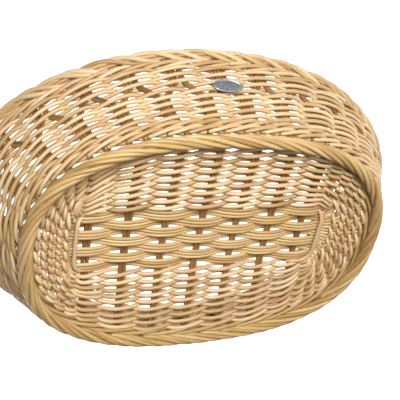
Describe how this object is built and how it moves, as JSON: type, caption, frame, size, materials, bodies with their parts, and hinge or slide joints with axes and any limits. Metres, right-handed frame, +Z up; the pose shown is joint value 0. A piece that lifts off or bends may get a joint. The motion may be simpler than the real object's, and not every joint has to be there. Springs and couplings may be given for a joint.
{
  "type": "wicker pet bed basket",
  "caption": "Low oval basket of woven rattan for a pet bed, with a flaring openwork wall, a raised woven base, rolled borders at foot and rim and a small blank oval plate.",
  "frame": {"origin": "on the ground, under the middle of the basket; the foot border rests on z = 0", "axes": "+Z up, +X along the length of the oval, -Y towards the front side that carries the small plate"},
  "size_m": [0.601, 0.4204, 0.128],
  "materials": {
    "base_sticks": "thick rattan sticks, dry satin, golden brown, fine lengthwise grain",
    "base_rods": "peeled rattan rods, dry satin, light honey, fine lengthwise grain",
    "weave_rods": "peeled rattan weaving rods, dry satin, pale straw with tan and pinkish streaks",
    "stakes": "rattan stakes, dry satin, warm tan",
    "borders": "rolled peeled rattan, smooth satin, pale straw",
    "badge_metal": "cast plate, brushed satin grey"
  },
  "bodies": {
    "root": {"base_stick_pair_1": "base_sticks", "base_stick_pair_2": "base_sticks", "base_stick_pair_3": "base_sticks", "base_stick_pair_4": "base_sticks", "base_stick_pair_5": "base_sticks", "base_stick_pair_6": "base_sticks", "base_stick_pair_7": "base_sticks", "base_long_band_1": "base_rods", "base_long_band_2": "base_rods", "base_long_band_3": "base_rods", "base_long_band_4": "base_rods", "base_long_band_5": "base_rods", "base_long_band_6": "base_rods", "base_long_band_7": "base_rods", "base_end_strands": "weave_rods", "base_pairing_row_1": "weave_rods", "base_pairing_row_2": "weave_rods", "base_pairing_row_3": "weave_rods", "base_pairing_row_4": "weave_rods", "base_pairing_row_5": "weave_rods", "base_pairing_row_6": "weave_rods", "base_pairing_row_7": "weave_rods", "base_pairing_row_8": "weave_rods", "base_pairing_row_9": "weave_rods", "foot_border": "borders", "stakes_front": "stakes", "stakes_right": "stakes", "stakes_back": "stakes", "stakes_left": "stakes", "wall_wale_row_1": "weave_rods", "wall_wale_row_2": "weave_rods", "wall_pairing_row_1": "weave_rods", "wall_pairing_row_2": "weave_rods", "wall_pairing_row_3": "weave_rods", "wall_pairing_row_4": "weave_rods", "wall_pairing_row_5": "weave_rods", "wall_upper_row_1": "weave_rods", "wall_upper_row_2": "weave_rods", "wall_upper_row_3": "weave_rods", "rim_border": "borders", "badge_plate": "badge_metal", "badge_pins": "badge_metal", "badge_washer": "badge_metal"}
  },
  "joints": []
}
